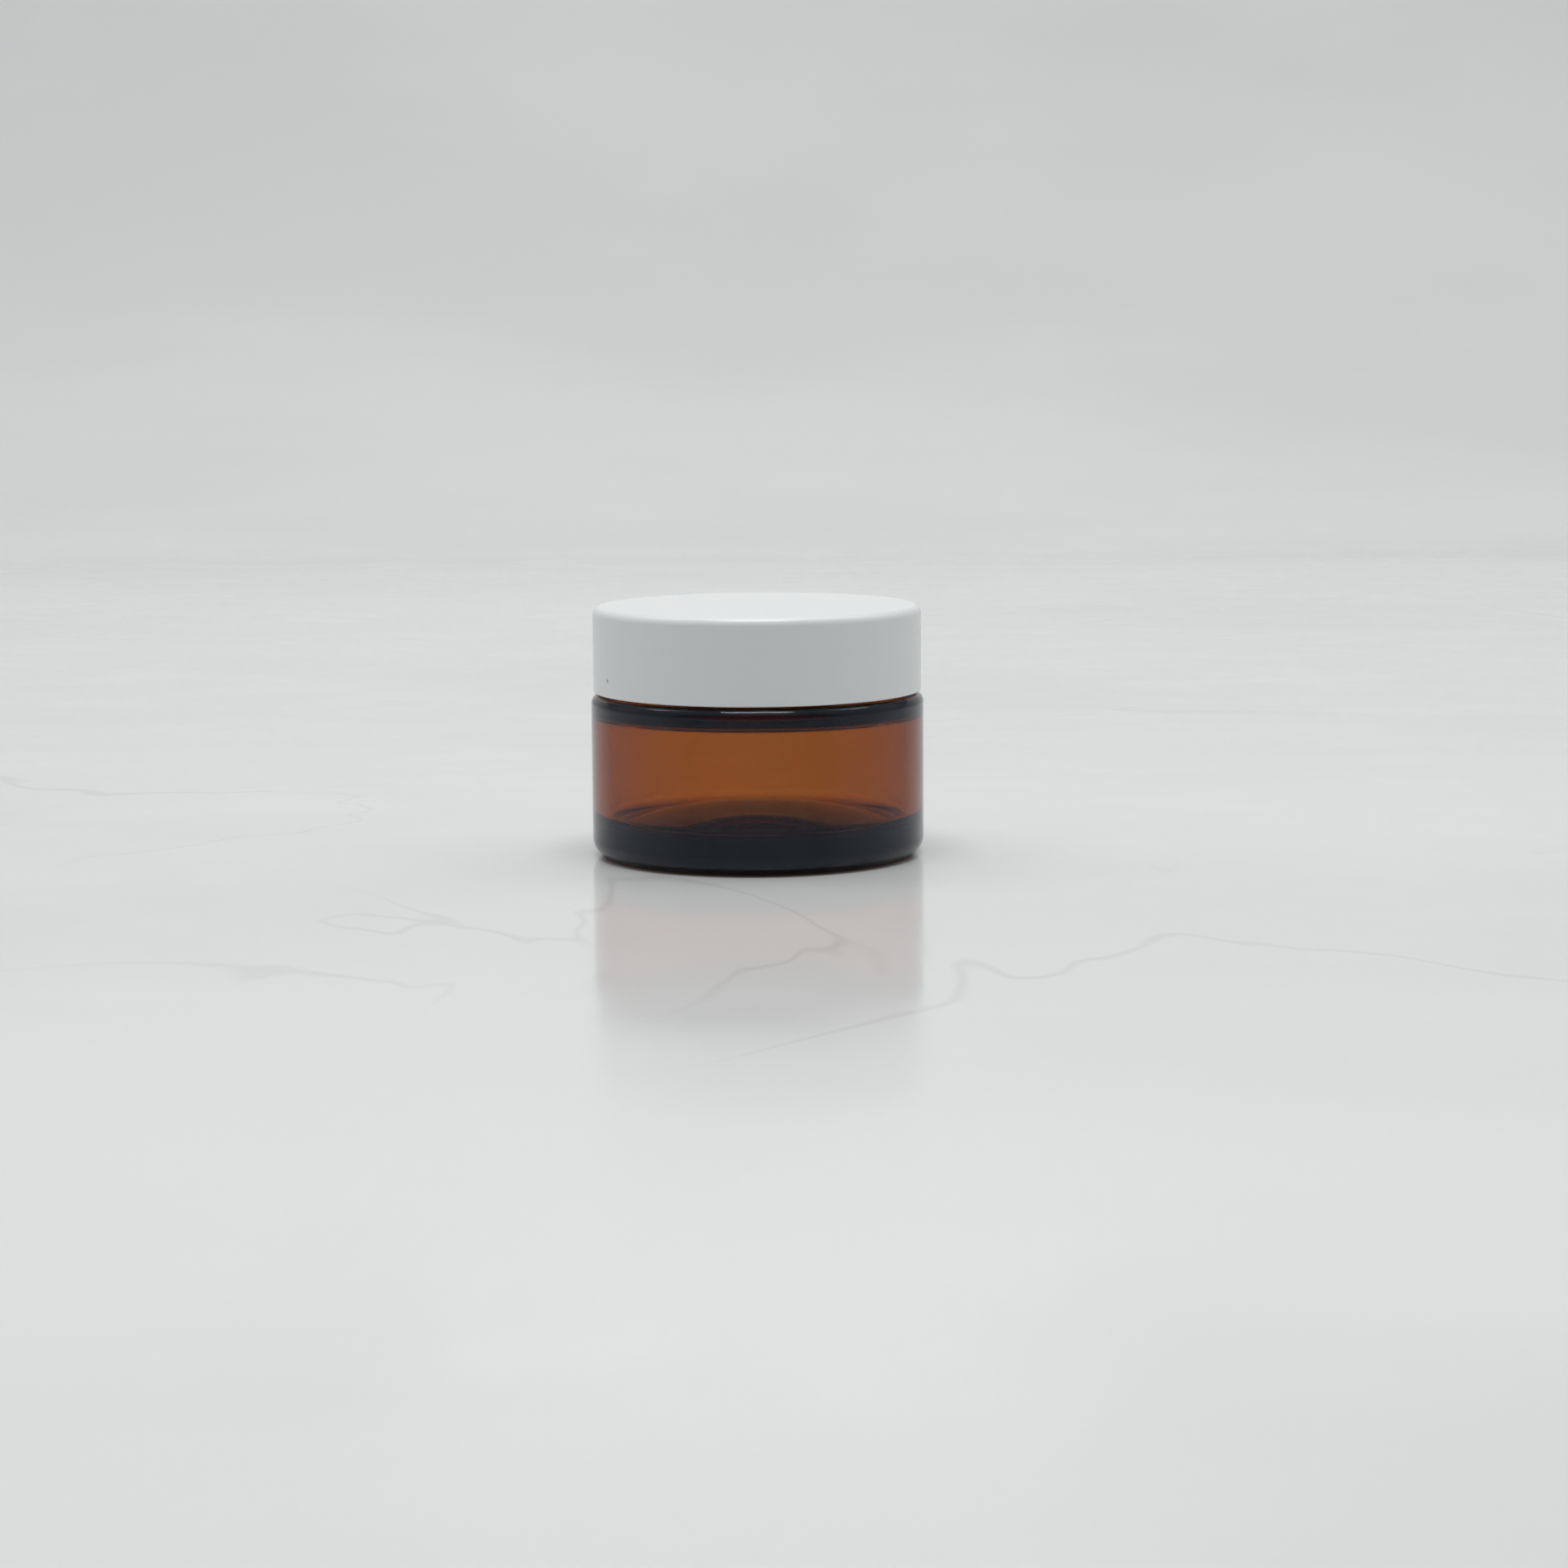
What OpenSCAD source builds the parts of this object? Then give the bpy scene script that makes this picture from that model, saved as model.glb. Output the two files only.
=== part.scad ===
// Round glass cream jar with a screw lid.
// Origin: centre of the base, on the surface that the jar stands on. +Z is up.

/* [Glass body] */
// Outside diameter of the glass body
body_d = 50; // [42:1:80]
// Height of the shoulder above the base
body_h = 24.4; // [20:0.2:60]
// Thickness of the side wall
side_wall = 2.6; // [2:0.1:3.4]
// Thickness of the glass under the edge of the cavity's floor
floor_t = 5; // [3.5:0.25:8]
// How far the middle of the cavity's floor bulges up
floor_rise = 2.8; // [0.4:0.1:3]
// Thickness of the glass between the cavity and the shoulder
shoulder_t = 2.6; // [2.2:0.1:5]
// How far the shoulder falls from the neck out to the side
shoulder_fall = 0.2; // [0.1:0.02:0.3]
// Radius between the side and the base
heel_r = 2.75; // [1:0.25:4]
// Radius between the side and the shoulder
shoulder_r = 1.4; // [0.6:0.1:2]
// Radius around the bottom of the cavity
cavity_low_r = 2; // [1:0.25:6]
// Radius around the top of the cavity
cavity_top_r = 1.2; // [0.8:0.1:2.6]
// Width of the flat ring that the jar stands on
foot_w = 2.5; // [1.5:0.25:5]
// Depth of the shallow dome inside the foot ring
foot_dome = 0.8; // [0.4:0.1:1.6]

/* [Neck] */
// How far the neck stands in from the side of the body
neck_step = 4.7; // [4.4:0.1:7]
// Thickness of the neck wall
neck_wall = 2.4; // [1.8:0.1:3]
// Height of the rim above the shoulder
neck_h = 8.7; // [8.2:0.1:12]
// Radius of the rim's two edges
rim_r = 0.8; // [0.3:0.1:0.9]
// Radius where the neck meets the shoulder, outside
neck_foot_r = 0.8; // [0.3:0.1:1.2]
// Radius where the neck bore opens into the cavity
bore_mouth_r = 1.6; // [0.5:0.1:1.8]

/* [Thread] */
// Rise of the thread in one turn
thread_lead = 4; // [3.4:0.1:4.6]
// How far each thread stands out of its wall
thread_h = 1; // [0.7:0.05:1.2]
// Width of a thread along the axis at its root
thread_root_w = 2; // [1.6:0.1:2.2]
// Width of a thread along the axis at its crest
thread_crest_w = 1; // [0.6:0.1:1.4]
// Length of the neck's thread in turns
neck_turns = 1.25; // [0.75:0.05:1.25]
// Length of the lid's thread in turns
cap_turns = 1; // [0.5:0.05:1]
// Distance from the rim down to the middle of the neck thread's upper end
thread_drop = 1.9; // [1.8:0.1:2.2]

/* [Lid] */
// How far the lid's side stands in from the side of the glass
lid_step = 0.38; // [0:0.02:0.6]
// Thickness of the shell's side
shell_wall = 1.5; // [1:0.1:1.6]
// Thickness of the shell's top
shell_top = 1.4; // [1:0.1:2.5]
// Radius around the lid's top edge
lid_edge_r = 1.3; // [0.4:0.1:1.3]
// Radius around the lid's bottom edge
lid_rim_r = 0.3; // [0.1:0.05:0.45]
// Thickness of the threaded insert's skirt
cap_wall = 1; // [0.7:0.1:1.1]
// Thickness of the threaded insert's top
cap_top = 1.1; // [0.8:0.1:2]
// How far the insert's skirt stops above the shell's bottom edge
cap_recess = 0.9; // [0.4:0.1:1.4]
// Number of ribs that key the insert into the shell
rib_count = 24; // [12:4:48]
// Width of one rib
rib_w = 1; // [0.6:0.1:2]
// The ribs stand at least this far out of the insert's skirt
least_rib = 0.15; // [0.1:0.01:0.4]
// How far the insert's snap bead reaches into the shell
snap_depth = 0.25; // [0.1:0.05:0.4]
// Height of the snap bead
snap_h = 1; // [0.6:0.1:1.5]
// Height of the snap bead's lower edge above the skirt's bottom
snap_rise = 0.4; // [0.3:0.1:1]

/* [Seals] */
// Thickness of the foam liner in the lid
liner_t = 1.2; // [0.8:0.1:2]
// Thickness of the sealing disc
disc_t = 0.6; // [0.5:0.05:1]
// How deep the sealing disc's dish goes into the mouth
dish_depth = 2.6; // [2.2:0.1:4]
// Outside radius of the disc's pull tab
tab_r = 9; // [6:0.5:12]
// Width of the pull tab's band
tab_w = 2.4; // [1.6:0.2:4]
// Thickness of the pull tab
tab_t = 0.8; // [0.5:0.1:1]

/* [Clearances] */
// Gap between the shoulder and the lid's bottom edge
lid_gap = 0.32; // [0.2:0.02:0.8]
// Gap between the seals and the faces that they rest on
seal_gap = 0.05; // [0.02:0.01:0.1]
// Radial gap between the threads and the opposite walls
thread_gap = 0.3; // [0.2:0.05:0.4]
// Gap between the flanks of the two threads when the lid is closed
flank_gap = 0.1; // [0.05:0.05:0.3]
// Gap between the insert and the shell
insert_gap = 0.05; // [0.02:0.01:0.1]
// Radial gap between the foam liner and the insert's skirt
liner_gap = 0.1; // [0.05:0.05:0.3]
// Radial gap between the sealing disc's dish and the mouth
dish_gap = 0.25; // [0.1:0.05:0.5]
// How far the sealing disc's edge stands in from the outside of the neck
disc_inset = 0.2; // [0:0.05:0.6]

/* [Hidden] */
$fn = 96;

body_r = body_d / 2;
cavity_r = body_r - side_wall;
cavity_roof = body_h - shoulder_t;
foot_r = body_r - heel_r - foot_w;
floor_r = cavity_r - cavity_low_r;

// From the inside out: the neck, the threads and the insert's skirt.
neck_r = body_r - neck_step;
cap_bore_r = neck_r + thread_h + thread_gap;
cap_skirt_r = cap_bore_r + cap_wall;
// The ribs fill the space up to the shell. A neck or insert that outgrows it moves the shell outwards.
rib_r = max(body_r - lid_step - shell_wall - insert_gap, cap_skirt_r + least_rib);
shell_bore_r = rib_r + insert_gap;
lid_r = shell_bore_r + shell_wall;
bore_r = neck_r - neck_wall;

rim_z = body_h + neck_h;
neck_foot_z = body_h + shoulder_fall;

disc_z = rim_z + seal_gap;
liner_z = disc_z + disc_t + seal_gap;
cap_ceiling_z = liner_z + liner_t + seal_gap;
shell_ceiling_z = cap_ceiling_z + cap_top + insert_gap;
lid_z = body_h + lid_gap;
lid_top_z = shell_ceiling_z + shell_top;

cap_z = lid_z + cap_recess;
snap_z = cap_z + snap_rise;

// Both threads follow one helix, with the lid's thread just under the neck's while the lid is closed.
thread_top_z = rim_z - thread_drop;
thread_foot_z = thread_top_z - neck_turns * thread_lead;
cap_thread_lift = 0.3;
flank_slope = (thread_root_w - thread_crest_w) / (2 * thread_h);
cap_thread_drop = thread_root_w - flank_slope * (thread_h + thread_gap) + flank_gap;
cap_thread_foot_z = cap_z + thread_root_w / 2 + cap_thread_lift;
cap_thread_angle = 360 * (cap_thread_foot_z + cap_thread_drop - thread_foot_z) / thread_lead;

// Sections of a thread in one turn, the share of a turn that each end takes to rise out of the
// wall, how far the ends start under the wall, and how far the whole thread is sunk into it.
turn_steps = 48;
end_share = 0.08;
end_sink = 0.1;
root_sink = 0.4;

dish_r = bore_r - dish_gap;
disc_r = neck_r - disc_inset;
dish_floor_z = disc_z - dish_depth + disc_t;
tab_lift = 0.6;
tab_post = 1.6;
overrun = 1;
ball_sides = 1440;

// A half outline from the axis out to radius r, with its two outer corners rounded.
module drum_outline(r, low, high, low_round, high_round) {
    translate([0, low + low_round]) square([r, high - low - low_round - high_round]);
    translate([0, low]) square([r - low_round, low_round]);
    translate([0, high - high_round]) square([r - high_round, high_round]);
    translate([r - low_round, low + low_round]) circle(low_round);
    translate([r - high_round, high - high_round]) circle(high_round);
}

// What a rounded edge leaves out of a square corner that stands at the origin and opens towards
// the side that sx and sz point to.
module corner_sliver(round_r, sx, sz) {
    difference() {
        translate([min(0, sx * round_r), min(0, sz * round_r)]) square(round_r);
        translate([sx * round_r, sz * round_r]) circle(round_r);
    }
}

// Height of a thread at step i of n, from just under the wall at both ends to its full height.
function ridge_rise(i, n) =
    -end_sink + (thread_h + end_sink) * min(1, i / (end_share * turn_steps), (n - i) / (end_share * turn_steps));

// One point of a thread's four-cornered section: corner 0 and 3 lie in the wall, 1 and 2 on the crest.
function ridge_point(wall_r, side, z, angle, rise, corner) =
    let(crest = corner == 1 || corner == 2)
    let(r = crest ? wall_r + side * rise : wall_r - side * root_sink)
    let(half_w = crest ? thread_crest_w / 2 : thread_root_w / 2 + flank_slope * root_sink)
    [r * cos(angle), r * sin(angle), z + side * (corner < 2 ? -half_w : half_w)];

// A right-handed thread on a wall of radius wall_r. It stands outwards for side 1, inwards for side -1.
module thread_ridge(wall_r, side, foot_z, foot_angle, turns) {
    n = round(turns * turn_steps);
    points = [
        for (i = [0 : n], corner = [0 : 3])
            ridge_point(wall_r, side, foot_z + thread_lead * i / turn_steps,
                foot_angle + 360 * i / turn_steps, ridge_rise(i, n), corner)
    ];
    walls = [
        for (i = [0 : n - 1], corner = [0 : 3], half = [0, 1])
            let(a = 4 * i + corner, b = 4 * i + (corner + 1) % 4)
            half == 0 ? [a, b, b + 4] : [a, b + 4, a + 4]
    ];
    ends = [[0, 2, 1], [0, 3, 2], [4 * n, 4 * n + 1, 4 * n + 2], [4 * n, 4 * n + 2, 4 * n + 3]];
    polyhedron(points = points, faces = concat(walls, ends), convexity = 6);
}

// The space inside the glass: the cream's cavity, and the bore of the neck above it.
module cavity_outline() {
    drum_outline(cavity_r, floor_t, cavity_roof, cavity_low_r, cavity_top_r);
    translate([0, floor_t + cavity_low_r]) square([bore_r, rim_z + overrun - floor_t - cavity_low_r]);
    translate([bore_r, cavity_roof]) corner_sliver(bore_mouth_r, 1, 1);
    translate([bore_r, rim_z]) corner_sliver(rim_r, 1, -1);
}

// The solid outline of body and neck, before the cavity is taken out.
module glass_outline() {
    drum_outline(body_r, 0, body_h, heel_r, shoulder_r);
    polygon([
        [0, cavity_roof], [body_r - shoulder_r, cavity_roof], [body_r - shoulder_r, body_h],
        [neck_r + neck_foot_r, neck_foot_z], [0, neck_foot_z],
    ]);
    translate([neck_r, neck_foot_z]) corner_sliver(neck_foot_r, 1, 1);
    difference() {
        translate([0, cavity_roof]) square([neck_r, rim_z - cavity_roof]);
        translate([neck_r, rim_z]) corner_sliver(rim_r, -1, -1);
    }
}

// A shallow dome, the top of a very large ball, with this radius and rise over the height z.
module dome_outline(r, rise, z) {
    ball_r = (r * r + rise * rise) / (2 * rise);
    intersection() {
        translate([0, z + rise - ball_r]) circle(ball_r, $fn = ball_sides);
        translate([0, z - overrun]) square([r + overrun, rise + 2 * overrun]);
    }
}

module glass_jar() {
    color([0.45, 0.22, 0.08, 0.75]) {
        difference() {
            rotate_extrude() {
                difference() {
                    glass_outline();
                    difference() {
                        cavity_outline();
                        dome_outline(floor_r, floor_rise, floor_t);
                    }
                }
            }
            rotate_extrude() dome_outline(foot_r, foot_dome, 0);
        }
        thread_ridge(neck_r, 1, thread_foot_z, 0, neck_turns);
    }
}

// A band bent to a half circle lies over the dish's floor, and stands on a post at each end.
module pull_tab() {
    translate([0, 0, dish_floor_z + tab_lift]) {
        rotate_extrude(angle = 180) translate([tab_r - tab_w, 0]) square([tab_w, tab_t]);
    }
    for (side = [-1, 1]) {
        translate([side * (tab_r - tab_w / 2) - tab_w / 2, -tab_post, dish_floor_z - disc_t / 2]) {
            cube([tab_w, tab_post + overrun / 2, disc_t / 2 + tab_lift + tab_t]);
        }
    }
}

module sealing_disc() {
    color([0.95, 0.95, 0.93]) {
        difference() {
            union() {
                translate([0, 0, disc_z]) cylinder(r = disc_r, h = disc_t);
                translate([0, 0, disc_z - dish_depth]) cylinder(r = dish_r, h = dish_depth + disc_t);
            }
            translate([0, 0, dish_floor_z]) cylinder(r = dish_r - disc_t, h = dish_depth + overrun);
        }
        pull_tab();
    }
}

module foam_liner() {
    color([0.9, 0.9, 0.88]) {
        translate([0, 0, liner_z]) cylinder(r = cap_bore_r - liner_gap, h = liner_t);
    }
}

// Outline of the snap bead. The shell's groove is the same outline, larger by the grow value.
module snap_outline(grow) {
    low = snap_z - grow;
    high = snap_z + snap_h + grow;
    tip = rib_r + snap_depth + grow;
    polygon([[cap_skirt_r, low], [rib_r, low], [tip, (low + high) / 2], [rib_r, high], [cap_skirt_r, high]]);
}

module insert_ribs() {
    rib_low = snap_z + snap_h / 2;
    for (i = [0 : rib_count - 1]) {
        rotate([0, 0, 360 * i / rib_count]) translate([cap_bore_r + cap_wall / 2, -rib_w / 2, rib_low]) {
            cube([rib_r - cap_bore_r - cap_wall / 2, rib_w, cap_ceiling_z - rib_low]);
        }
    }
}

module inner_cap() {
    color([0.93, 0.93, 0.92]) {
        difference() {
            union() {
                translate([0, 0, cap_z]) cylinder(r = cap_skirt_r, h = cap_ceiling_z + cap_top - cap_z);
                rotate_extrude() snap_outline(0);
                insert_ribs();
            }
            translate([0, 0, cap_z - overrun]) cylinder(r = cap_bore_r, h = cap_ceiling_z - cap_z + overrun);
        }
        thread_ridge(cap_bore_r, -1, cap_thread_foot_z, cap_thread_angle, cap_turns);
    }
}

module lid_shell() {
    color([0.97, 0.97, 0.97]) {
        difference() {
            rotate_extrude() drum_outline(lid_r, lid_z, lid_top_z, lid_rim_r, lid_edge_r);
            translate([0, 0, lid_z - overrun]) {
                cylinder(r = shell_bore_r, h = shell_ceiling_z - lid_z + overrun);
            }
            rotate_extrude() snap_outline(insert_gap);
            rotate_extrude() translate([shell_bore_r, lid_z]) corner_sliver(lid_rim_r, 1, 1);
        }
    }
}

glass_jar();
sealing_disc();
foam_liner();
inner_cap();
lid_shell();
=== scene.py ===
import math

import bmesh
import bpy
from mathutils import Matrix, Vector


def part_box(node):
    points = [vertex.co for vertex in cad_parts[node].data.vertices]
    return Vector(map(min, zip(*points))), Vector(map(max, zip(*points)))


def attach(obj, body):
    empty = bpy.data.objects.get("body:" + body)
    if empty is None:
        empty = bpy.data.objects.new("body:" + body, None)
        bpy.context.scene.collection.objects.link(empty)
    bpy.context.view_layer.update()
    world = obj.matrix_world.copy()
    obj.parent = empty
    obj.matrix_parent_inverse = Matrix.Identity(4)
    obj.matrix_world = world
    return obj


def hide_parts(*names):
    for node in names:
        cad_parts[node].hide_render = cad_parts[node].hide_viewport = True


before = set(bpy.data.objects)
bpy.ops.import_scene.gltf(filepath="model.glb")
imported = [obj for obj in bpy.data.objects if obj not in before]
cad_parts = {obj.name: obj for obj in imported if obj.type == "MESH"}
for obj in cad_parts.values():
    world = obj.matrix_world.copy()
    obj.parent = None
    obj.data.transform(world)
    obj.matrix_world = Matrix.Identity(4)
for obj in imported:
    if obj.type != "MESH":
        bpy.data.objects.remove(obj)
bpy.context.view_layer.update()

# ---------------------------------------------------------------------------------------------
# Sizes, in metres. The outside sizes come from the CAD nodes, and the wall sizes repeat the
# part's own values.
# ---------------------------------------------------------------------------------------------
MM = 0.001
TINY = 0.001 * MM

jar_low, jar_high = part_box("glass_jar")
disc_low, disc_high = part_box("sealing_disc")
liner_low, liner_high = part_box("foam_liner")
insert_low, insert_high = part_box("inner_cap")
shell_low, shell_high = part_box("lid_shell")

# Glass
BODY_R = jar_high.x
RIM_Z = jar_high.z
BODY_H = 24.4 * MM
SIDE_WALL = 2.6 * MM
FLOOR_T = 5 * MM
SHOULDER_T = 2.6 * MM
SHOULDER_FALL = 0.2 * MM
HEEL_R = 2.75 * MM
SHOULDER_R = 1.4 * MM
FLOOR_RISE = 2.8 * MM
CAVITY_LOW_R = 2 * MM
CAVITY_TOP_R = 1.2 * MM
FOOT_W = 2.5 * MM
FOOT_DOME = 0.8 * MM
NECK_STEP = 4.7 * MM
NECK_WALL = 2.4 * MM
RIM_R = 0.8 * MM
NECK_FOOT_R = 0.8 * MM
BORE_MOUTH_R = 1.6 * MM

CAVITY_R = BODY_R - SIDE_WALL
CAVITY_ROOF = BODY_H - SHOULDER_T
FOOT_R = BODY_R - HEEL_R - FOOT_W
NECK_R = BODY_R - NECK_STEP
BORE_R = NECK_R - NECK_WALL

# Thread
THREAD_LEAD = 4 * MM
THREAD_H = 1 * MM
THREAD_ROOT_W = 2 * MM
THREAD_CREST_W = 1 * MM
THREAD_GAP = 0.3 * MM
THREAD_DROP = 1.9 * MM
NECK_TURNS = 1.25
CAP_TURNS = 1.0
FLANK_GAP = 0.1 * MM

# Lid
LID_R = shell_high.x
LID_Z = shell_low.z
LID_TOP_Z = shell_high.z
SHELL_WALL = 1.5 * MM
SHELL_TOP = 1.4 * MM
LID_EDGE_R = 1.3 * MM
LID_RIM_R = 0.3 * MM
CAP_WALL = 1 * MM
INSERT_GAP = 0.05 * MM
SNAP_DEPTH = 0.25 * MM
SNAP_H = 1 * MM
SNAP_RISE = 0.4 * MM
RIB_COUNT = 24
RIB_W = 1 * MM

SHELL_BORE_R = LID_R - SHELL_WALL
SHELL_CEILING_Z = LID_TOP_Z - SHELL_TOP
RIB_R = SHELL_BORE_R - INSERT_GAP
CAP_BORE_R = NECK_R + THREAD_H + THREAD_GAP
CAP_SKIRT_R = CAP_BORE_R + CAP_WALL
CAP_Z = insert_low.z
CAP_TOP_Z = insert_high.z
CAP_CEILING_Z = liner_high.z + 0.05 * MM

# Fineness of the turned pieces
TURN_STEPS = 192
ROUND_STEPS = 8
NECK_ROWS = 64
BOW_CUTS = 11


# ---------------------------------------------------------------------------------------------
# Camera
# ---------------------------------------------------------------------------------------------
CAMERA_BACK = 0.5242
CAMERA_HEIGHT = 0.0797
CAMERA_PITCH = math.radians(7.533)
CAMERA_PAN = math.radians(0.4286)
CAMERA_ROLL = math.radians(-0.388)
CAMERA_LENS = 80.39


def make_camera():
    """The camera stands in front of the jar, a little above it, and looks slightly down."""
    ahead = Vector((
        math.sin(CAMERA_PAN) * math.cos(CAMERA_PITCH),
        math.cos(CAMERA_PAN) * math.cos(CAMERA_PITCH),
        -math.sin(CAMERA_PITCH),
    ))
    level_right = Vector((math.cos(CAMERA_PAN), -math.sin(CAMERA_PAN), 0))
    level_up = level_right.cross(ahead)
    right = math.cos(CAMERA_ROLL) * level_right + math.sin(CAMERA_ROLL) * level_up
    up = -math.sin(CAMERA_ROLL) * level_right + math.cos(CAMERA_ROLL) * level_up
    turn = Matrix((right, up, -ahead)).transposed()
    data = bpy.data.cameras.new("camera")
    data.lens = CAMERA_LENS
    data.sensor_width = 36
    data.clip_start = 0.01
    data.clip_end = 20
    camera = bpy.data.objects.new("camera", data)
    camera.matrix_world = Matrix.Translation((0, -CAMERA_BACK, CAMERA_HEIGHT)) @ turn.to_4x4()
    bpy.context.collection.objects.link(camera)
    bpy.context.scene.camera = camera


# ---------------------------------------------------------------------------------------------
# Mesh helpers
# ---------------------------------------------------------------------------------------------
def add_piece(bm, name):
    """Turns a bmesh into a smooth-shaded object whose flat faces keep flat shading."""
    mesh = bpy.data.meshes.new(name)
    bm.to_mesh(mesh)
    bm.free()
    mesh.shade_smooth()
    piece = bpy.data.objects.new(name, mesh)
    bpy.context.collection.objects.link(piece)
    shading = piece.modifiers.new("flat_faces_first", "WEIGHTED_NORMAL")
    shading.weight = 100
    shading.keep_sharp = True
    return piece


def half_section(bm, outline):
    """Draws a closed half section in the XZ plane. Each corner is (radius, height, rounding)."""
    corners = [bm.verts.new((r, 0, z)) for r, z, _ in outline]
    bm.faces.new(corners)
    for corner, (_, _, rounding) in zip(corners, outline):
        if rounding:
            bmesh.ops.bevel(
                bm, geom=[corner], offset=rounding, offset_type="OFFSET", segments=ROUND_STEPS,
                profile=0.5, affect="VERTICES", material=-1, clamp_overlap=False,
            )
    bmesh.ops.delete(bm, geom=bm.faces[:], context="FACES_ONLY")
    on_axis = [e for e in bm.edges if all(v.co.x < TINY for v in e.verts)]
    bmesh.ops.delete(bm, geom=on_axis, context="EDGES")


def divide_upright(bm, radius, low, high, cuts):
    """Divides the half section's upright line at this radius, between the two heights."""
    line = [
        e for e in bm.edges
        if all(abs(v.co.x - radius) < TINY and low - TINY <= v.co.z <= high + TINY for v in e.verts)
    ]
    bmesh.ops.subdivide_edges(bm, edges=line, cuts=cuts)


def bow_line(bm, radius, z, rise):
    """Bows the half section's level line at height z, from this radius in to the axis."""
    line = [
        e for e in bm.edges
        if all(abs(v.co.z - z) < TINY and v.co.x < radius + TINY for v in e.verts)
    ]
    bmesh.ops.subdivide_edges(bm, edges=line, cuts=BOW_CUTS)
    for v in bm.verts:
        if abs(v.co.z - z) < TINY and v.co.x < radius:
            v.co.z = z + rise * (1 - (v.co.x / radius) ** 2)


def spin_round(bm, steps=TURN_STEPS):
    """Turns the half section round the jar's axis, closed and facing outwards."""
    bmesh.ops.spin(
        bm, geom=bm.verts[:] + bm.edges[:], axis=(0, 0, 1), cent=(0, 0, 0),
        angle=math.tau, steps=steps, use_merge=True, use_duplicate=False,
    )
    bmesh.ops.remove_doubles(bm, verts=bm.verts, dist=TINY)
    bmesh.ops.recalc_face_normals(bm, faces=bm.faces)


def thread_height(angle, z, foot_z, foot_angle, turns):
    """Height of a right-handed thread above its wall, at an angle in turns and a height z."""
    flank = (THREAD_ROOT_W - THREAD_CREST_W) / 2
    best = 0.0
    first = math.floor(foot_angle) - 1
    for turn in range(first, first + math.ceil(turns) + 3):
        along = angle + turn - foot_angle
        if 0 <= along <= turns:
            off = abs(z - (foot_z + THREAD_LEAD * along))
            rise = min(1.0, max(0.0, (THREAD_ROOT_W / 2 - off) / flank))
            rise = rise * rise * (3 - 2 * rise)
            ends = min(1.0, along / 0.08, (turns - along) / 0.08)
            best = max(best, THREAD_H * rise * ends)
    return best


def raise_thread(bm, wall_r, side, foot_z, foot_angle, turns):
    """Moves the points of a wall outwards (side 1) or inwards (side -1) to make its thread."""
    for v in bm.verts:
        r = math.hypot(v.co.x, v.co.y)
        if abs(r - wall_r) < TINY:
            angle = math.atan2(v.co.y, v.co.x) / math.tau
            height = thread_height(angle, v.co.z, foot_z, foot_angle, turns)
            if height:
                grow = (wall_r + side * height) / r
                v.co.x *= grow
                v.co.y *= grow


# ---------------------------------------------------------------------------------------------
# Pieces
# ---------------------------------------------------------------------------------------------
NECK_THREAD_FOOT_Z = RIM_Z - THREAD_DROP - NECK_TURNS * THREAD_LEAD
FLANK_SLOPE = (THREAD_ROOT_W - THREAD_CREST_W) / (2 * THREAD_H)
CAP_THREAD_DROP = THREAD_ROOT_W - FLANK_SLOPE * (THREAD_H + THREAD_GAP) + FLANK_GAP
CAP_THREAD_FOOT_Z = CAP_Z + THREAD_ROOT_W / 2 + 0.3 * MM
CAP_THREAD_FOOT_ANGLE = (CAP_THREAD_FOOT_Z + CAP_THREAD_DROP - NECK_THREAD_FOOT_Z) / THREAD_LEAD


def make_glass():
    """The amber glass, as one closed skin: dome, foot, side, shoulder, threaded neck, bore and cavity."""
    bm = bmesh.new()
    half_section(bm, [
        (0, 0, 0),
        (FOOT_R, 0, 0),
        (BODY_R, 0, HEEL_R),
        (BODY_R, BODY_H, SHOULDER_R),
        (NECK_R, BODY_H + SHOULDER_FALL, NECK_FOOT_R),
        (NECK_R, RIM_Z, RIM_R),
        (BORE_R, RIM_Z, RIM_R),
        (BORE_R, CAVITY_ROOF, BORE_MOUTH_R),
        (CAVITY_R, CAVITY_ROOF, CAVITY_TOP_R),
        (CAVITY_R, FLOOR_T, CAVITY_LOW_R),
        (0, FLOOR_T, 0),
    ])
    bow_line(bm, FOOT_R, 0, FOOT_DOME)
    bow_line(bm, CAVITY_R - CAVITY_LOW_R, FLOOR_T, FLOOR_RISE)
    divide_upright(bm, NECK_R, BODY_H + SHOULDER_FALL, RIM_Z, NECK_ROWS)
    spin_round(bm)
    raise_thread(bm, NECK_R, 1, NECK_THREAD_FOOT_Z, 0, NECK_TURNS)
    return add_piece(bm, "amber_jar")


def make_lid_shell():
    """The lid's smooth outer shell, with the groove inside it that the insert snaps into."""
    groove_low = CAP_Z + SNAP_RISE - INSERT_GAP
    groove_high = groove_low + SNAP_H + 2 * INSERT_GAP
    groove_r = SHELL_BORE_R + SNAP_DEPTH
    bm = bmesh.new()
    half_section(bm, [
        (0, LID_TOP_Z, 0),
        (LID_R, LID_TOP_Z, LID_EDGE_R),
        (LID_R, LID_Z, LID_RIM_R),
        (SHELL_BORE_R, LID_Z, LID_RIM_R),
        (SHELL_BORE_R, groove_low, 0),
        (groove_r, (groove_low + groove_high) / 2, 0),
        (SHELL_BORE_R, groove_high, 0),
        (SHELL_BORE_R, SHELL_CEILING_Z, 0.3 * MM),
        (0, SHELL_CEILING_Z, 0),
    ])
    spin_round(bm)
    return add_piece(bm, "white_shell")


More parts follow.
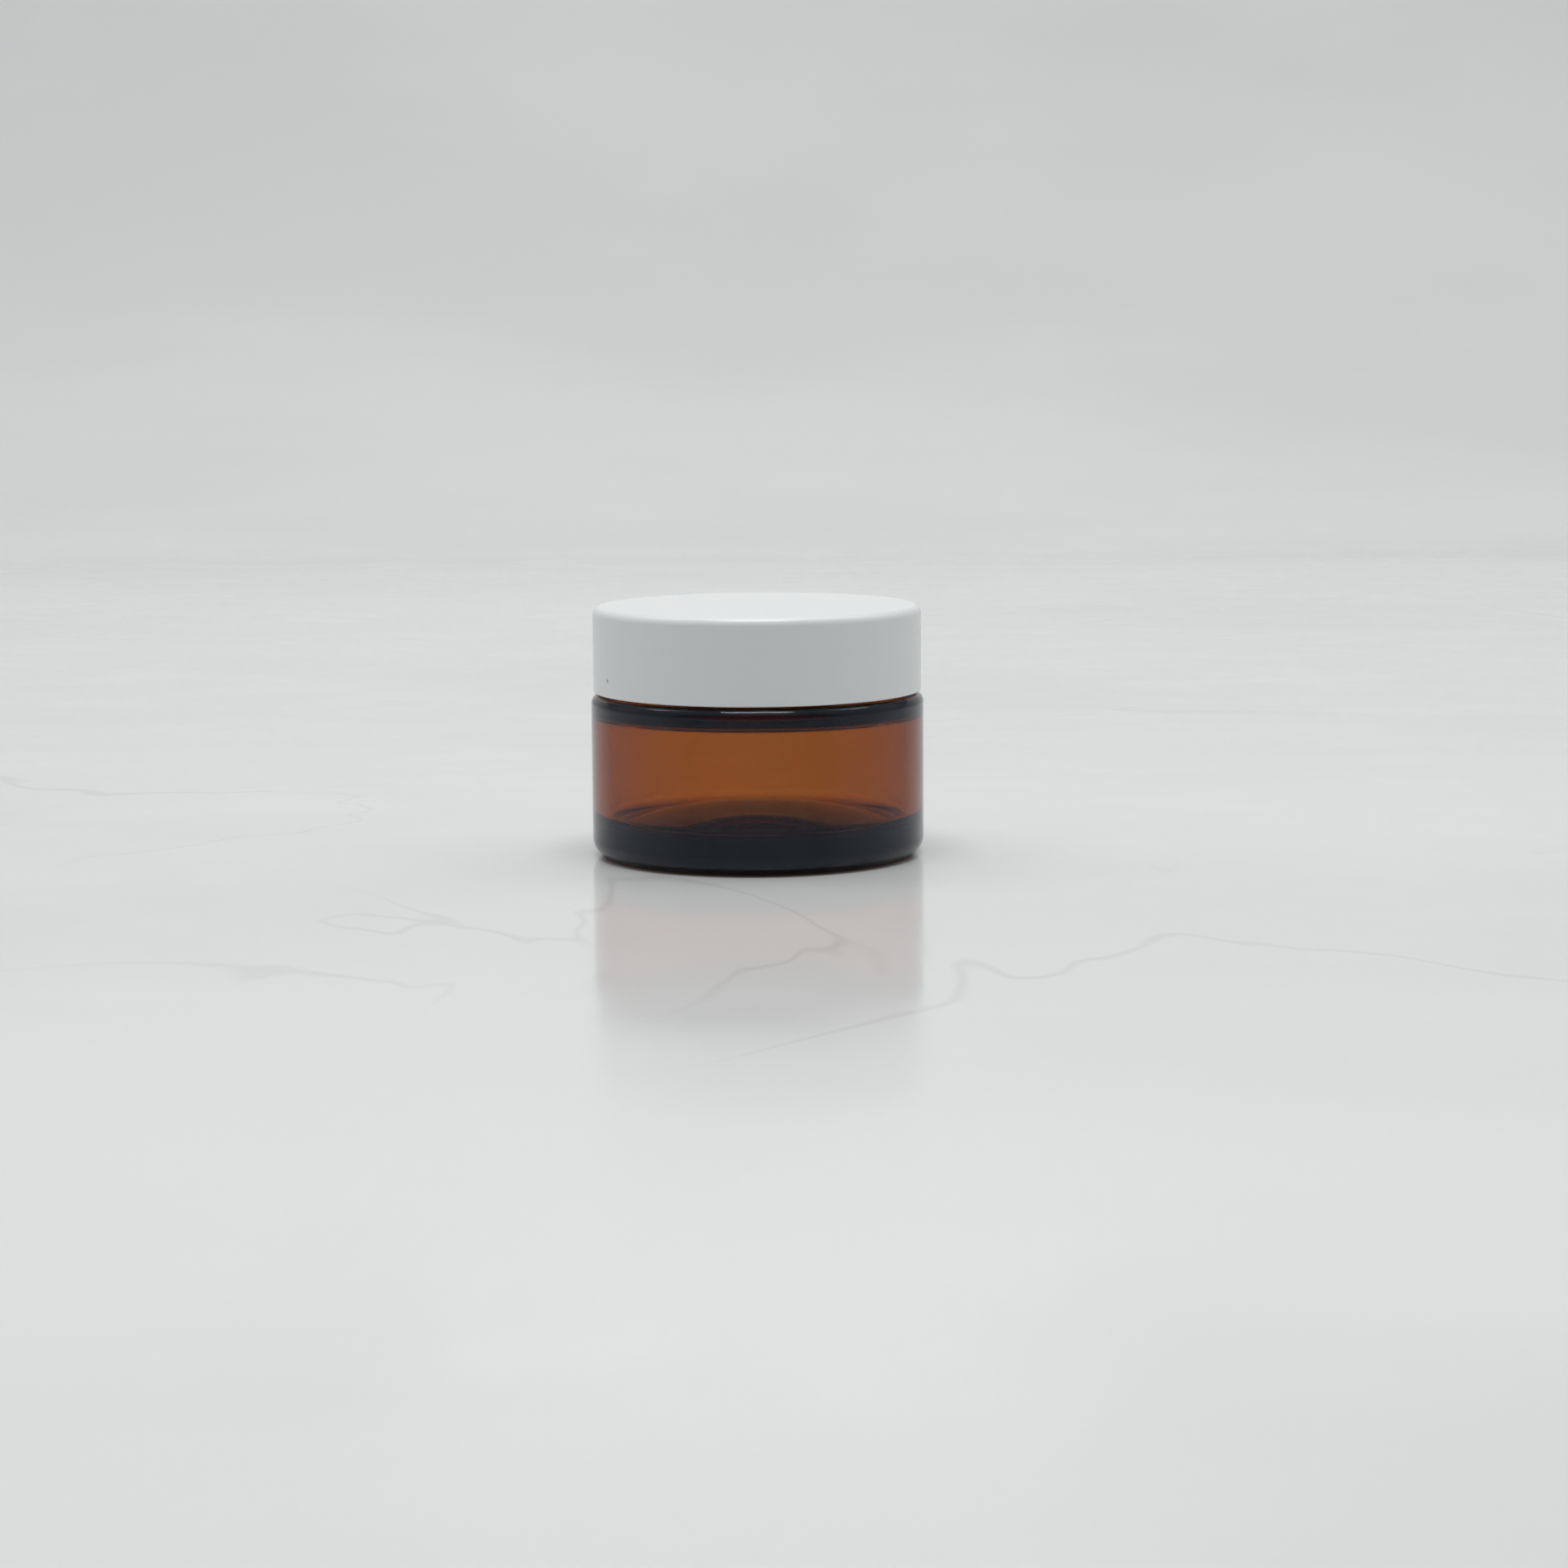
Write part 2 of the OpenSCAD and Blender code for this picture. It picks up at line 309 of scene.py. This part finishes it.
def make_insert():
    """The threaded insert: a skirt with ribs and a snap bead outside, and the lid's thread inside."""
    bead_low = CAP_Z + SNAP_RISE
    bead_high = bead_low + SNAP_H
    bead_r = RIB_R + SNAP_DEPTH
    bm = bmesh.new()
    half_section(bm, [
        (0, CAP_TOP_Z, 0),
        (CAP_SKIRT_R, CAP_TOP_Z, 0.3 * MM),
        (CAP_SKIRT_R, bead_high, 0),
        (RIB_R, bead_high, 0),
        (bead_r, (bead_low + bead_high) / 2, 0.1 * MM),
        (RIB_R, bead_low, 0),
        (CAP_SKIRT_R, bead_low, 0),
        (CAP_SKIRT_R, CAP_Z, 0.2 * MM),
        (CAP_BORE_R, CAP_Z, 0.2 * MM),
        (CAP_BORE_R, CAP_CEILING_Z, 0.2 * MM),
        (0, CAP_CEILING_Z, 0),
    ])
    divide_upright(bm, CAP_BORE_R, CAP_Z, CAP_CEILING_Z, NECK_ROWS)
    spin_round(bm)
    raise_thread(bm, CAP_BORE_R, -1, CAP_THREAD_FOOT_Z, CAP_THREAD_FOOT_ANGLE, CAP_TURNS)
    rib_low = bead_low + SNAP_H / 2
    rib_in = CAP_BORE_R + CAP_WALL / 2
    for i in range(RIB_COUNT):
        rib = bmesh.ops.create_cube(bm, size=1)["verts"]
        bmesh.ops.scale(bm, vec=(RIB_R - rib_in, RIB_W, CAP_CEILING_Z - rib_low), verts=rib)
        centre = ((RIB_R + rib_in) / 2, 0, (CAP_CEILING_Z + rib_low) / 2)
        bmesh.ops.translate(bm, vec=centre, verts=rib)
        turn = Matrix.Rotation(math.tau * i / RIB_COUNT, 3, "Z")
        bmesh.ops.rotate(bm, cent=(0, 0, 0), matrix=turn, verts=rib)
    return add_piece(bm, "threaded_insert")


def make_liner():
    """The foam disc under the lid's top."""
    bm = bmesh.new()
    half_section(bm, [
        (0, liner_high.z, 0),
        (liner_high.x, liner_high.z, 0.15 * MM),
        (liner_high.x, liner_low.z, 0.15 * MM),
        (0, liner_low.z, 0),
    ])
    spin_round(bm)
    return add_piece(bm, "foam_seal")


# Sealing disc
DISC_T = 0.6 * MM
DISH_GAP = 0.25 * MM
TAB_R = 9 * MM
TAB_W = 2.4 * MM
TAB_T = 0.8 * MM
TAB_LIFT = 0.6 * MM
TAB_POST = 1.6 * MM
DISH_R = BORE_R - DISH_GAP
DISC_Z = disc_high.z - DISC_T
DISH_FLOOR_Z = disc_low.z + DISC_T


def make_sealing_disc():
    """The thin white disc that lies in the mouth: a flat rim and a shallow dish. Its pull tab is made apart,
    by make_pull_tab.
    """
    bm = bmesh.new()
    half_section(bm, [
        (0, disc_low.z, 0),
        (DISH_R, disc_low.z, 0.5 * MM),
        (DISH_R, DISC_Z, 0.1 * MM),
        (disc_high.x, DISC_Z, 0.15 * MM),
        (disc_high.x, disc_high.z, 0.15 * MM),
        (DISH_R - DISC_T, disc_high.z, 0.3 * MM),
        (DISH_R - DISC_T, DISH_FLOOR_Z, 0.3 * MM),
        (0, DISH_FLOOR_Z, 0),
    ])
    spin_round(bm)
    return add_piece(bm, "mouth_disc")


def make_pull_tab():
    """A flat half ring over the dish's floor, on a post at each end."""
    bm = bmesh.new()
    low = DISH_FLOOR_Z + TAB_LIFT
    band = [
        bm.verts.new((r, 0, z))
        for r, z in ((TAB_R - TAB_W, low), (TAB_R, low), (TAB_R, low + TAB_T), (TAB_R - TAB_W, low + TAB_T))
    ]
    face = bm.faces.new(band)
    bmesh.ops.spin(
        bm, geom=[face], axis=(0, 0, 1), cent=(0, 0, 0), angle=math.pi, steps=48,
        use_merge=False, use_duplicate=False,
    )
    bmesh.ops.remove_doubles(bm, verts=bm.verts, dist=TINY)
    for side in (-1, 1):
        post = bmesh.ops.create_cube(bm, size=1)["verts"]
        bmesh.ops.scale(bm, vec=(TAB_W, TAB_POST, TAB_T + TAB_LIFT + DISC_T / 2), verts=post)
        centre = (side * (TAB_R - TAB_W / 2), -TAB_POST / 2, (low + TAB_T + DISH_FLOOR_Z - DISC_T / 2) / 2)
        bmesh.ops.translate(bm, vec=centre, verts=post)
    bmesh.ops.recalc_face_normals(bm, faces=bm.faces)
    tab = add_piece(bm, "pull_tab")
    rounding = tab.modifiers.new("soft_edges", "BEVEL")
    rounding.width = 0.2 * MM
    rounding.segments = 3
    rounding.limit_method = "ANGLE"
    tab.modifiers.move(1, 0)
    return tab


# ---------------------------------------------------------------------------------------------
# Node helpers
# ---------------------------------------------------------------------------------------------
def wire(tree, source, socket):
    """Sets a node's input from an output socket, or from a plain value or triple."""
    if isinstance(source, bpy.types.NodeSocket):
        tree.links.new(source, socket)
    elif isinstance(source, tuple) and socket.type == "RGBA":
        socket.default_value = (*source, 1)
    else:
        socket.default_value = source


def math_node(tree, operation, first, second=0.0):
    node = tree.nodes.new("ShaderNodeMath")
    node.operation = operation
    wire(tree, first, node.inputs[0])
    wire(tree, second, node.inputs[1])
    return node.outputs["Value"]


def smooth_step(tree, value, low, high, start=0.0, end=1.0):
    """A value that goes smoothly from start, at low, to end, at high."""
    step = tree.nodes.new("ShaderNodeMapRange")
    step.interpolation_type = "SMOOTHSTEP"
    for name, number in (("From Min", low), ("From Max", high), ("To Min", start), ("To Max", end)):
        wire(tree, number, step.inputs[name])
    wire(tree, value, step.inputs["Value"])
    return step.outputs["Result"]


def mix_colour(tree, factor, first, second):
    """Mixes two colours, each a socket or an RGB triple."""
    mix = tree.nodes.new("ShaderNodeMix")
    mix.data_type = "RGBA"
    wire(tree, factor, mix.inputs["Factor"])
    colours = [socket for socket in mix.inputs if socket.type == "RGBA"]
    wire(tree, first, colours[0])
    wire(tree, second, colours[1])
    return next(socket for socket in mix.outputs if socket.type == "RGBA")


def stretched(tree, vector, scale):
    """The same coordinates, scaled along each axis."""
    mapping = tree.nodes.new("ShaderNodeMapping")
    wire(tree, vector, mapping.inputs["Vector"])
    wire(tree, scale, mapping.inputs["Scale"])
    return mapping.outputs["Vector"]


def noise(tree, vector, scale, detail=2.0, distortion=0.0):
    node = tree.nodes.new("ShaderNodeTexNoise")
    wire(tree, vector, node.inputs["Vector"])
    wire(tree, scale, node.inputs["Scale"])
    node.inputs["Detail"].default_value = detail
    node.inputs["Distortion"].default_value = distortion
    return node.outputs["Fac"]


def cells(tree, vector, scale):
    node = tree.nodes.new("ShaderNodeTexVoronoi")
    wire(tree, vector, node.inputs["Vector"])
    wire(tree, scale, node.inputs["Scale"])
    return node


def place_on_piece(tree):
    return tree.nodes.new("ShaderNodeTexCoord").outputs["Object"]


def bump(tree, height, distance, normal=None):
    """A normal from a height between 0 and 1, for a relief this deep in metres."""
    node = tree.nodes.new("ShaderNodeBump")
    wire(tree, height, node.inputs["Height"])
    node.inputs["Distance"].default_value = distance
    if normal is not None:
        wire(tree, normal, node.inputs["Normal"])
    return node.outputs["Normal"]


def new_group(name, inputs, outputs):
    """An empty node group. Each input and output is (name, kind), and an input may add a value."""
    group = bpy.data.node_groups.new(name, "ShaderNodeTree")
    for socket_name, kind, *value in inputs:
        socket = group.interface.new_socket(name=socket_name, in_out="INPUT", socket_type=kind)
        if value:
            socket.default_value = value[0]
    for socket_name, kind in outputs:
        group.interface.new_socket(name=socket_name, in_out="OUTPUT", socket_type=kind)
    given = group.nodes.new("NodeGroupInput").outputs
    results = group.nodes.new("NodeGroupOutput").inputs
    return group, given, results


def use_group(tree, group, **values):
    """Places a group in a material. An underscore in a value's name stands for a space."""
    node = tree.nodes.new("ShaderNodeGroup")
    node.node_tree = group
    for name, value in values.items():
        wire(tree, value, node.inputs[name.replace("_", " ")])
    return node.outputs


# ---------------------------------------------------------------------------------------------
# Shared surface effects
# ---------------------------------------------------------------------------------------------
FLOAT = "NodeSocketFloat"
COLOUR = "NodeSocketColor"


def moulded_finish():
    """Moulded plastic: slow shifts of tone and gloss, and a fine grain over a soft orange peel."""
    group, given, results = new_group(
        "moulded_finish",
        [
            ("Colour", COLOUR), ("Shade Colour", COLOUR), ("Cloud Size", FLOAT, 60.0),
            ("Roughness", FLOAT, 0.3), ("Roughness Shift", FLOAT, 0.1), ("Peel Size", FLOAT, 500.0),
            ("Grain Size", FLOAT, 6000.0), ("Grain Share", FLOAT, 0.4),
        ],
        [("Colour", COLOUR), ("Roughness", FLOAT), ("Height", FLOAT)],
    )
    where = place_on_piece(group)
    cloud = noise(group, where, given["Cloud Size"], detail=3)
    wire(group, mix_colour(group, cloud, given["Colour"], given["Shade Colour"]), results["Colour"])
    patches = noise(group, where, math_node(group, "MULTIPLY", given["Cloud Size"], 4.3), detail=4)
    shift = math_node(group, "MULTIPLY", math_node(group, "SUBTRACT", patches, 0.5), given["Roughness Shift"])
    wire(group, math_node(group, "ADD", given["Roughness"], shift), results["Roughness"])
    peel = noise(group, where, given["Peel Size"], detail=1)
    grain = noise(group, where, given["Grain Size"], detail=2)
    grain = math_node(group, "MULTIPLY", grain, given["Grain Share"])
    wire(group, math_node(group, "ADD", peel, grain), results["Height"])
    return group


# Outer and inner radius of a speck, as shares of the spacing
SPECK_EDGE = (0.03, 0.06)
SCUFF_SLANT = (1.0, 0.16, 0.4)
SCUFF_FINENESS = 9.0
SCUFF_WIDTH = 0.012
SCUFF_PATCH = (0.52, 0.66)


def dust_and_scuffs():
    """Masks of a few dust specks, and of the short hairline scuffs that handling leaves."""
    group, given, results = new_group(
        "dust_and_scuffs",
        [("Speck Spacing", FLOAT, 180.0), ("Speck Share", FLOAT, 0.2), ("Scuff Size", FLOAT, 90.0)],
        [("Specks", FLOAT), ("Scuffs", FLOAT)],
    )
    where = place_on_piece(group)
    spots = cells(group, where, given["Speck Spacing"])
    dot = smooth_step(group, spots.outputs["Distance"], *SPECK_EDGE, 1.0, 0.0)
    pick = group.nodes.new("ShaderNodeSeparateColor")
    wire(group, spots.outputs["Color"], pick.inputs["Color"])
    chosen = math_node(group, "LESS_THAN", pick.outputs["Red"], given["Speck Share"])
    wire(group, math_node(group, "MULTIPLY", dot, chosen), results["Specks"])
    slanted = stretched(group, where, SCUFF_SLANT)
    lines = noise(group, slanted, math_node(group, "MULTIPLY", given["Scuff Size"], SCUFF_FINENESS), detail=0)
    ridge = math_node(group, "ABSOLUTE", math_node(group, "SUBTRACT", lines, 0.5))
    hair = smooth_step(group, ridge, 0.0, SCUFF_WIDTH, 1.0, 0.0)
    patch = smooth_step(group, noise(group, where, given["Scuff Size"]), *SCUFF_PATCH)
    wire(group, math_node(group, "MULTIPLY", hair, patch), results["Scuffs"])
    return group


# ---------------------------------------------------------------------------------------------
# Materials
# ---------------------------------------------------------------------------------------------
def new_material(name):
    """A new material, with its tree and its Principled shader."""
    material = bpy.data.materials.new(name)
    material.use_nodes = True
    tree = material.node_tree
    return material, tree, tree.nodes["Principled BSDF"]


def set_shader(tree, shader, **values):
    for name, value in values.items():
        wire(tree, value, shader.inputs[name.replace("_", " ")])


SPECK_COLOUR = (0.32, 0.31, 0.30)
SCUFF_DULLING = 0.03


def white_plastic(name, finish, dust, colour, shade, roughness, shift, grain_share, relief, specks=0.12):
    """White moulded plastic with a soft gloss, a few specks and light scuffs."""
    material, tree, shader = new_material(name)
    skin = use_group(
        tree, finish, Colour=colour, Shade_Colour=shade, Roughness=roughness,
        Roughness_Shift=shift, Grain_Share=grain_share,
    )
    marks = use_group(tree, dust, Speck_Share=specks)
    dulled = math_node(tree, "MULTIPLY", marks["Scuffs"], SCUFF_DULLING)
    gloss = math_node(tree, "ADD", skin["Roughness"], dulled)
    set_shader(
        tree, shader,
        Base_Color=mix_colour(tree, marks["Specks"], skin["Colour"], SPECK_COLOUR),
        Roughness=gloss, Normal=bump(tree, skin["Height"], relief),
    )
    return material


GLASS_ABSORPTION = (0.838, 0.64, 0.0)
GLASS_DENSITY = 1280
GLASS_IOR = 1.52
GLASS_SHEEN = (0.66, 0.74, 0.90)
GLASS_CLEAR = (1.0, 1.0, 1.0)
GLASS_SMEARED = (0.955, 0.96, 0.965)
GLASS_WAVE = 0.05 * MM
GLASS_STREAK = 0.0012 * MM
SMEAR_HAZE = 0.02
SCUFF_HAZE = 0.05


def amber_glass(dust):
    """Clear amber glass. The colour comes from its depth, so the walls glow and the base is dark."""
    material, tree, shader = new_material("amber_glass")
    where = place_on_piece(tree)
    waves = noise(tree, stretched(tree, where, (1.0, 1.0, 0.35)), 55.0, detail=1)
    streaks = noise(tree, stretched(tree, where, (1.0, 1.0, 0.04)), 900.0, detail=3)
    marks = use_group(tree, dust, Speck_Share=0.05, Scuff_Size=70.0)
    normal = bump(tree, waves, GLASS_WAVE)
    normal = bump(tree, streaks, GLASS_STREAK, normal)
    smear = smooth_step(tree, noise(tree, where, 45.0, detail=4, distortion=0.6), 0.45, 0.75)
    haze = math_node(tree, "MULTIPLY", smear, SMEAR_HAZE)
    rough = math_node(tree, "ADD", haze, math_node(tree, "MULTIPLY", marks["Scuffs"], SCUFF_HAZE))
    tint = mix_colour(tree, smear, GLASS_CLEAR, GLASS_SMEARED)
    set_shader(
        tree, shader, Base_Color=tint, Roughness=rough, Normal=normal,
        Transmission_Weight=1.0, IOR=GLASS_IOR, Specular_Tint=GLASS_SHEEN,
    )
    depth = tree.nodes.new("ShaderNodeVolumeAbsorption")
    depth.inputs["Color"].default_value = (*GLASS_ABSORPTION, 1)
    depth.inputs["Density"].default_value = GLASS_DENSITY
    wire(tree, depth.outputs["Volume"], tree.nodes["Material Output"].inputs["Volume"])
    return material


# The pit colour is painted shade: it darkens the sunken middle of each foam cell.
FOAM_PIT_SHADE = (0.70, 0.70, 0.67)
FOAM_SKIN = (0.84, 0.84, 0.82)
FOAM_CLOUD = (0.76, 0.76, 0.72)
FOAM_CELL_DEPTH = 0.12 * MM
FOAM_FINE_DEPTH = 0.03 * MM
FOAM_CLOUD_SHARE = 0.3


def liner_foam():
    """White closed-cell foam: small round cells, some open at the skin, with painted shade darkening the open
    cells.
    """
    material, tree, shader = new_material("liner_foam")
    where = place_on_piece(tree)
    bubbles = cells(tree, where, 1500.0)
    small = cells(tree, where, 3400.0)
    pits = smooth_step(tree, bubbles.outputs["Distance"], 0.05, 0.55)
    fine = smooth_step(tree, small.outputs["Distance"], 0.1, 0.6)
    # Painted shade: the cell pits, which the bump below sinks, are also coloured darker than the skin.
    shade = mix_colour(tree, pits, FOAM_PIT_SHADE, FOAM_SKIN)
    cloud = noise(tree, where, 80.0, detail=3)
    normal = bump(tree, pits, FOAM_CELL_DEPTH)
    normal = bump(tree, fine, FOAM_FINE_DEPTH, normal)
    cloud_share = math_node(tree, "MULTIPLY", cloud, FOAM_CLOUD_SHARE)
    set_shader(
        tree, shader, Base_Color=mix_colour(tree, cloud_share, shade, FOAM_CLOUD),
        Roughness=smooth_step(tree, cloud, 0.3, 0.7, 0.65, 0.85), Normal=normal,
    )
    return material


STONE_TONE = (0.805, 0.81, 0.80)
STONE_SHADE = (0.765, 0.77, 0.762)
STONE_VEIN = (0.52, 0.50, 0.48)
STONE_GLOSS = (0.09, 0.16)
STONE_GRAIN = 300.0
STONE_RELIEF = 0.003 * MM
VEIN_WIDTH = 0.006
VEIN_SHARE = 0.3
# The veins fade out between these two distances behind the jar, before the floor sweeps up.
VEIN_END = (0.35, 0.6)


def pale_stone():
    """Pale polished stone with soft clouds and a few faint veins."""
    material, tree, shader = new_material("pale_stone")
    where = place_on_piece(tree)
    cloud = noise(tree, stretched(tree, where, (1.0, 2.2, 1.0)), 3.0, detail=4)
    vein_path = noise(tree, where, 4.5, detail=4, distortion=1.2)
    off = math_node(tree, "ABSOLUTE", math_node(tree, "SUBTRACT", vein_path, 0.5))
    vein = smooth_step(tree, off, 0.0, VEIN_WIDTH, 1.0, 0.0)
    patches = smooth_step(tree, noise(tree, where, 6.0), 0.46, 0.62, 0.0, VEIN_SHARE)
    parts = tree.nodes.new("ShaderNodeSeparateXYZ")
    wire(tree, where, parts.inputs[0])
    near = smooth_step(tree, parts.outputs["Y"], *VEIN_END, 1.0, 0.0)
    where_veins = math_node(tree, "MULTIPLY", patches, near)
    tone = mix_colour(tree, smooth_step(tree, cloud, 0.4, 0.65), STONE_TONE, STONE_SHADE)
    gloss = noise(tree, where, 30.0, detail=3)
    set_shader(
        tree, shader,
        Base_Color=mix_colour(tree, math_node(tree, "MULTIPLY", vein, where_veins), tone, STONE_VEIN),
        Roughness=smooth_step(tree, gloss, 0.3, 0.7, *STONE_GLOSS),
        Normal=bump(tree, noise(tree, where, STONE_GRAIN, detail=2), STONE_RELIEF),
    )
    return material


# ---------------------------------------------------------------------------------------------
# Floor, backdrop and light
# ---------------------------------------------------------------------------------------------
FLOOR_BACK = 1.15
FLOOR_SIDE = 3.0
FLOOR_FRONT = 1.5
# The floor lies this far under the foot, the air film below a jar that rests on stone.
FLOOR_DROP = 0.02 * MM
SWEEP_R = 0.5
WALL_H = 0.62

LAMP_PLACE = (0, -0.16, 1.2)
LAMP_SIZE = (0.6, 0.3)
LAMP_POWER = 5.9
WASH_PLACE = (0, 0.3, 1.2)
WASH_AIM = (0, 0.5, 0)
WASH_SIZE = (2.2, 0.5)
WASH_POWER = 5.7

ROOM_SIDE = (0.44, 0.45, 0.46)
ROOM_DARK = (0.15, 0.16, 0.185)
ROOM_DARK_SPAN = (0.3, 0.75)
ROOM_CEILING = (0.5, 0.51, 0.51)
ROOM_CEILING_SPAN = (0.5, 0.9)
ROOM_SEEN = (0.62, 0.63, 0.62)


def make_stage():
    """A pale floor that sweeps up into a pale wall behind the jar."""
    bm = bmesh.new()
    path = [(-FLOOR_FRONT, -FLOOR_DROP), (FLOOR_BACK, -FLOOR_DROP), (FLOOR_BACK, WALL_H)]
    points = [bm.verts.new((-FLOOR_SIDE, y, z)) for y, z in path]
    for pair in zip(points, points[1:]):
        bm.edges.new(pair)
    bmesh.ops.bevel(
        bm, geom=[points[1]], offset=SWEEP_R, offset_type="OFFSET", segments=48,
        profile=0.5, affect="VERTICES", material=-1, clamp_overlap=False,
    )
    made = bmesh.ops.extrude_edge_only(bm, edges=bm.edges[:])
    moved = [v for v in made["geom"] if isinstance(v, bmesh.types.BMVert)]
    bmesh.ops.translate(bm, vec=(2 * FLOOR_SIDE, 0, 0), verts=moved)
    bmesh.ops.recalc_face_normals(bm, faces=bm.faces)
    mesh = bpy.data.meshes.new("pale_floor")
    bm.to_mesh(mesh)
    bm.free()
    mesh.shade_smooth()
    floor = bpy.data.objects.new("pale_floor", mesh)
    bpy.context.collection.objects.link(floor)
    floor.data.materials.append(pale_stone())
    return floor


def area_lamp(name, place, aim, size, power):
    """A plain rectangular lamp that points from its place towards its aim."""
    data = bpy.data.lights.new(name, "AREA")
    data.shape = "RECTANGLE"
    data.size, data.size_y = size
    data.energy = power
    lamp = bpy.data.objects.new(name, data)
    lamp.location = place
    lamp.rotation_euler = (Vector(aim) - Vector(place)).to_track_quat("-Z", "Y").to_euler()
    bpy.context.collection.objects.link(lamp)


def make_room():
    """A pale room all round, dark only in front of the jar, where the camera stands."""
    world = bpy.data.worlds.new("soft_room")
    bpy.context.scene.world = world
    world.use_nodes = True
    tree = world.node_tree
    way = tree.nodes.new("ShaderNodeTexCoord").outputs["Generated"]
    parts = tree.nodes.new("ShaderNodeSeparateXYZ")
    wire(tree, way, parts.inputs[0])
    front = smooth_step(tree, math_node(tree, "ABSOLUTE", parts.outputs["Y"]), *ROOM_DARK_SPAN)
    above = smooth_step(tree, parts.outputs["Z"], *ROOM_CEILING_SPAN)
    seen = tree.nodes.new("ShaderNodeLightPath").outputs["Is Camera Ray"]
    colour = mix_colour(tree, front, ROOM_SIDE, ROOM_DARK)
    colour = mix_colour(tree, above, colour, ROOM_CEILING)
    colour = mix_colour(tree, seen, colour, ROOM_SEEN)
    tree.links.new(colour, tree.nodes["Background"].inputs["Color"])


make_camera()
bpy.context.scene.view_settings.view_transform = "Standard"

glass = make_glass()
shell = make_lid_shell()
insert = make_insert()
liner = make_liner()
disc = make_sealing_disc()
tab = make_pull_tab()

finish = moulded_finish()
dust = dust_and_scuffs()
shell_plastic = white_plastic(
    "shell_plastic", finish, dust, colour=(0.85, 0.862, 0.855), shade=(0.835, 0.848, 0.843),
    roughness=0.29, shift=0.05, grain_share=0.3, relief=0.001 * MM, specks=0.2,
)
insert_plastic = white_plastic(
    "insert_plastic", finish, dust, colour=(0.84, 0.84, 0.83), shade=(0.79, 0.79, 0.78),
    roughness=0.42, shift=0.15, grain_share=0.6, relief=0.006 * MM, specks=0.03,
)
disc_plastic = white_plastic(
    "disc_plastic", finish, dust, colour=(0.85, 0.85, 0.83), shade=(0.80, 0.80, 0.785),
    roughness=0.34, shift=0.15, grain_share=0.7, relief=0.005 * MM, specks=0.03,
)
for piece, material in (
    (glass, amber_glass(dust)),
    (shell, shell_plastic),
    (insert, insert_plastic),
    (liner, liner_foam()),
    (disc, disc_plastic),
    (tab, disc_plastic),
):
    piece.data.materials.append(material)

for piece, node, body, slot in (
    (glass, "glass_jar", "jar", "amber_glass"),
    (shell, "lid_shell", "lid", "shell_plastic"),
    (insert, "inner_cap", "lid", "insert_plastic"),
    (liner, "foam_liner", "liner", "liner_foam"),
    (disc, "sealing_disc", "disc", "disc_plastic"),
    (tab, "sealing_disc", "disc", "disc_plastic"),
):
    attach(piece, body)
    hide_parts(node)

make_stage()
make_room()
area_lamp("soft_lamp", LAMP_PLACE, (0, 0, 0), LAMP_SIZE, LAMP_POWER)
area_lamp("backdrop_lamp", WASH_PLACE, WASH_AIM, WASH_SIZE, WASH_POWER)
